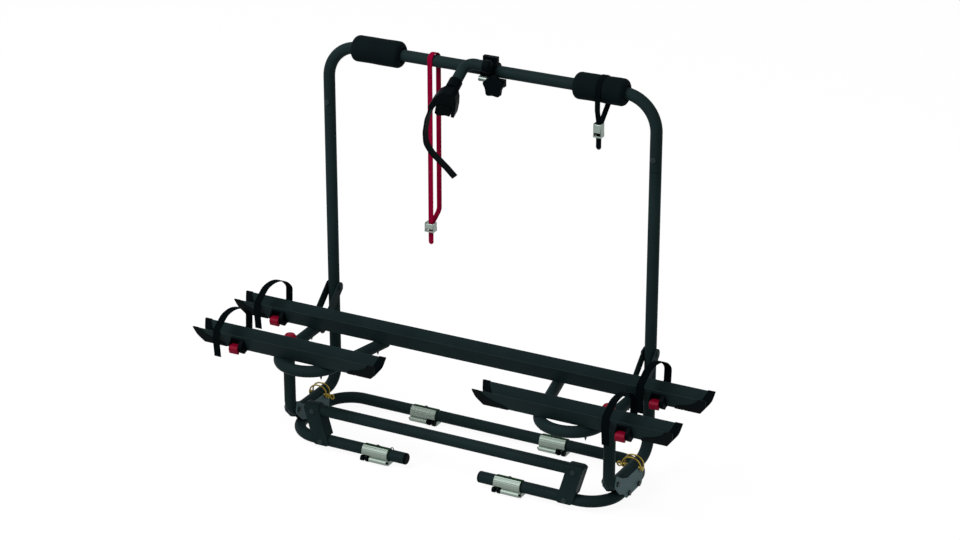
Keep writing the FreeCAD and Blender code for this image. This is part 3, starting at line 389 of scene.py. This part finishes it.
for tip, out, middle in railTips:
    for side in (-1, 1):
        wall = [Vector((tip - out * away, middle + side * (tongueSizes["floor"] + slope * up), low + up))
                for away, up in tongueSizes["edge"] + tongueSizes["root"]]
        addPlate(tongues, wall, Vector((0, side, -slope)) * (thick / wallLength))
    start, stop = (tip - out * away for away in tongueSizes["under"])
    reach = tongueSizes["floor"] + tongueSizes["spare"]
    under = [Vector((x, middle + y, low)) for x, y in
             ((start, -reach), (stop, -reach), (stop, reach), (start, reach))]
    addPlate(tongues, under, Vector((0, 0, -thick)))
bmesh.ops.recalc_face_normals(tongues, faces=tongues.faces)
easeEdges(dress("rail_cap_tongues", tongues, "rail_end_caps", replaced=False), tongueSizes["easing"])
print("rail cap tongues made")

# Straps: a rounded section is drawn along the strap's line, and its UV map counts metres
lineSteps = {"bend": 0.004, "straight": 2.5, "least": 3, "sharpest": math.radians(89.5)}
bandShape = {"edge": 0.35, "shoulder": 0.5, "inner": 0.4,
             "tail": (0.05, 0.15, 0.3, 0.5, 0.75, 1.0), "tip": 0.3}


# The line through the corners (across, up, radius of the bend), split into short even steps
def strapLine(corners):
    step = lineSteps["bend"]
    spots = [Vector(corner[:2]) for corner in corners]
    line = [spots[0]]
    for index in range(1, len(spots) - 1):
        here = spots[index]
        back = (spots[index - 1] - here).normalized()
        ahead = (spots[index + 1] - here).normalized()
        half = back.angle(ahead) / 2
        radius = corners[index][2]
        if half >= lineSteps["sharpest"]:
            line.append(here)
            continue
        middle = here + (back + ahead).normalized() * (radius / math.sin(half))
        start = here + back * (radius / math.tan(half)) - middle
        sweep = math.pi - 2 * half
        turn = -1 if back.cross(ahead) > 0 else 1
        count = max(lineSteps["least"], int(radius * sweep / step) + 1)
        for part in range(count + 1):
            line.append(middle + Matrix.Rotation(turn * sweep * part / count, 2) @ start)
    line.append(spots[-1])
    even = [line[0]]
    for spot in line[1:]:
        start = even[-1]
        gap = spot - start
        pieces = max(1, int(gap.length / (step * lineSteps["straight"])))
        for part in range(1, pieces + 1):
            even.append(start + gap * (part / pieces))
    return even


# Half of the strap's section from its lower edge round to its upper one, and then the other half
def bandSection(wide, thick):
    edge, shoulder = thick * bandShape["edge"], wide - thick * bandShape["shoulder"]
    inner = wide * bandShape["inner"]
    lower = [(-wide, -edge), (-shoulder, -thick), (-inner, -thick), (inner, -thick),
             (shoulder, -thick), (wide, -edge)]
    return lower + [(-across, -out) for across, out in lower]


def webStrap(spec):
    line = strapLine(spec["line"])
    wide, thick = spec["wide"] / 2, spec["thick"] / 2
    roundTail = spec.get("roundTail")
    if roundTail:
        ahead = (line[1] - line[0]).normalized()
        line[1:1] = [line[0] + ahead * (wide * part) for part in bandShape["tail"]]
    section = bandSection(wide, thick)
    shape = bmesh.new()
    uvLayer = shape.loops.layers.uv.new("UVMap")
    spotOf = {}
    reach = 0.0
    before = None
    for index, point in enumerate(line):
        along = (line[min(index + 1, len(line) - 1)] - line[max(index - 1, 0)]).normalized()
        if index:
            reach += (point - line[index - 1]).length
        narrow = 1.0
        if roundTail and reach < wide:
            curve = math.sqrt(max(0.0, 1 - ((wide - reach) / wide) ** 2))
            narrow = max(bandShape["tip"], curve)
        middle = spec["middle"] + spec.get("lean", 0) * (point.x - line[0].x)
        if before is None:
            ring = [shape.verts.new((0, 0, 0)) for corner in section]
            shape.faces.new(ring)
        else:
            edges = [edge for edge in shape.edges
                     if edge.verts[0] in before and edge.verts[1] in before]
            grown = bmesh.ops.extrude_edge_only(shape, edges=edges)["geom"]
            fresh = [item for item in grown if isinstance(item, bmesh.types.BMVert)]
            ring = [next(edge.other_vert(old) for edge in old.link_edges
                         if edge.other_vert(old) in fresh) for old in before]
        for (across, out), vert in zip(section, ring):
            vert.co = (middle + across * narrow, point.x - along.y * out, point.y + along.x * out)
            spotOf[vert] = (across, reach)
        before = ring
    shape.faces.new(before)
    for face in shape.faces:
        for loop in face.loops:
            loop[uvLayer].uv = spotOf[loop.vert]
    bmesh.ops.recalc_face_normals(shape, faces=shape.faces)
    return shape


def placeStrap(name, node, spec):
    smoothFaces(dress(name, webStrap(spec), node), webCreaseAngle)


# Wheel straps: corners are (behind the rail's middle, above its lips, radius), and the strap leans
# between its anchor behind the rail and its other end in front of it
railTop, railLip = 0.319, 0.030
wheelStrap = {"wide": 0.020, "thick": 0.0018, "anchorX": 0.537, "frontX": {-1: -0.592, 1: 0.495},
              "corners": [(0.0222, -0.020), (0.0316, 0.001, 0.008), (0.0325, 0.040, 0.026),
                          (0.013, 0.068, 0.020), (-0.014, 0.046, 0.040), (-0.0312, 0.006, 0.020),
                          (-0.033, -0.020, 0.020), (-0.031, -0.068)]}
for node, row in (("rear_wheel_straps", rearRow), ("front_wheel_straps", frontRow)):
    for side, sideName in sides:
        anchor = side * wheelStrap["anchorX"]
        lean = -(wheelStrap["frontX"][side] - anchor) / (2 * railLip)
        placeStrap(sideName + "_" + node[:-1], node, {
            "wide": wheelStrap["wide"], "thick": wheelStrap["thick"], "lean": lean,
            "middle": anchor + lean * (wheelStrap["corners"][0][0] - railLip),
            "line": [(row + corner[0], railTop + corner[1]) + corner[2:]
                     for corner in wheelStrap["corners"]]})


# Straps over the hoop's bar: corners are (behind its axis, height, radius)
def hoopLine(corners):
    return [(hoopSetback + corner[0],) + corner[1:] for corner in corners]


padStrap = {"wide": 0.014, "thick": 0.0018, "middle": 0.312, "round": 0.0344, "roundTail": True}
out, crest = padStrap["round"], hoopHeight + padStrap["round"]
padStrap["line"] = hoopLine([
    (-0.024, 0.860), (-0.024, 0.925, 0.020), (-out, 0.962, 0.020), (-out, crest, out),
    (out, crest, out), (out, 0.968, 0.020), (-0.019, 0.918, 0.008), (-0.019, 0.896)])
placeStrap("pad_strap_web", "pad_strap", padStrap)

loadStrap = {"wide": 0.014, "thick": 0.0018, "middle": -0.154, "round": 0.0159, "slack": 0.005,
             "lean": 7 / 31.8, "tuck": 0.005, "roundTail": True}
out = loadStrap["round"]
tucked = loadStrap["tuck"] - out
crest = hoopHeight + out + loadStrap["slack"]
loadStrap["line"] = hoopLine([
    (-out, 0.522), (-out, crest, out), (out, crest, out), (out, 0.606, 0.022),
    (tucked, 0.578, 0.008), (tucked, 0.562)])
placeStrap("load_strap_web", "load_strap", loadStrap)
print("straps ready")

# Foam pads: a thick sleeve with dished ends and a slit behind, pressed in where the strap goes round.
# Each swell is (height, waves along, phase round the pad)
foam = {"length": 0.136, "radius": 0.0335, "middle": 0.3066, "corner": 0.013, "cornerSteps": 8,
        "longSteps": 36, "roundSteps": 96, "dish": 0.013, "rim": (0.0006, 0.004), "inner": 0.0152,
        "innerSpare": 0.001, "slit": 0.0016, "slitAngle": 2.2, "slitHalf": 0.045,
        "press": 0.0007, "pressHalf": 0.009, "swells": ((0.00025, 41, 2.1), (0.0002, 97, -1))}


def foamProfile():
    half, radius, corner = foam["length"] / 2, foam["radius"], foam["corner"]
    profile = [(-half + foam["dish"], foam["inner"]),
               (-half + foam["rim"][0], foam["inner"] + foam["rim"][1])]
    for part in range(foam["cornerSteps"] + 1):
        angle = math.pi / 2 * part / foam["cornerSteps"]
        profile.append((-half + corner - corner * math.cos(angle),
                        radius - corner + corner * math.sin(angle)))
    mirrored = [(-x, r) for x, r in profile[::-1]]
    for part in range(1, foam["longSteps"]):
        profile.append((-half + corner + (2 * half - 2 * corner) * part / foam["longSteps"], radius))
    return profile + mirrored


def foamPad(side, pressAt):
    shape = bmesh.new()
    ring = [shape.verts.new((x, 0, r)) for x, r in foamProfile()]
    edges = [shape.edges.new((ring[i], ring[(i + 1) % len(ring)])) for i in range(len(ring))]
    bmesh.ops.spin(shape, geom=ring + edges, cent=(0, 0, 0), axis=(1, 0, 0), angle=2 * math.pi,
                   steps=foam["roundSteps"], use_merge=True)
    bmesh.ops.remove_doubles(shape, verts=shape.verts, dist=spinWeldGap)
    for vert in shape.verts:
        out = Vector((0, vert.co.y, vert.co.z))
        if out.length < foam["inner"] + foam["innerSpare"]:
            continue
        around = math.atan2(vert.co.y, -vert.co.z)
        depth = foam["slit"] * max(0.0, 1 - abs(around - foam["slitAngle"]) / foam["slitHalf"])
        if pressAt is not None:
            off = abs(side * foam["middle"] + vert.co.x - pressAt) / foam["pressHalf"]
            depth += foam["press"] * max(0.0, 1 - off ** 2)
        swell = sum(high * math.sin(waves * vert.co.x + phase * around)
                    for high, waves, phase in foam["swells"])
        vert.co -= out.normalized() * (depth - swell)
    bmesh.ops.recalc_face_normals(shape, faces=shape.faces)
    bmesh.ops.translate(shape, verts=shape.verts,
                        vec=(side * foam["middle"], hoopSetback, hoopHeight))
    return shape


for side, sideName in sides:
    pressAt = padStrap["middle"] if side > 0 else None
    pad = dress(sideName + "_foam_roll", foamPad(side, pressAt), sideName + "_foam_pad")
    pad.data.shade_smooth()
print("foam pads ready")

# A small wire eye stands on the base tube beside the front left clamp
eye = {"place": (-0.146, -0.152, 0.0452), "radius": 0.0042, "wire": 0.0011, "wireSteps": 12,
       "roundSteps": 32}
eyeShape = bmesh.new()
bmesh.ops.create_circle(eyeShape, segments=eye["wireSteps"], radius=eye["wire"],
                        matrix=Matrix.Translation((eye["radius"], 0, 0)))
bmesh.ops.spin(eyeShape, geom=eyeShape.verts[:] + eyeShape.edges[:], cent=(0, 0, 0),
               axis=(0, 1, 0), angle=2 * math.pi, steps=eye["roundSteps"], use_merge=True)
bmesh.ops.remove_doubles(eyeShape, verts=eyeShape.verts, dist=spinWeldGap)
bmesh.ops.recalc_face_normals(eyeShape, faces=eyeShape.faces)
bmesh.ops.translate(eyeShape, verts=eyeShape.verts, vec=eye["place"])
dress("wire_eye", eyeShape, "clamp_bolts", replaced=False).data.shade_smooth()

# The seams where the hoop stands on the two side frames show as thin dark lines
seam = {"radius": 0.01512, "high": 0.0009, "steps": 64}
for side, sideName in sides:
    seamShape = bmesh.new()
    bmesh.ops.create_cone(
        seamShape, segments=seam["steps"], radius1=seam["radius"], radius2=seam["radius"],
        depth=seam["high"], cap_ends=True,
        matrix=Matrix.Translation((side * hoopHalf, hoopSetback, jointHeight)))
    dress(sideName + "_hoop_seam", seamShape, "hoop", replaced=False, slot="black_rubber")
print("wire eye and seams ready")
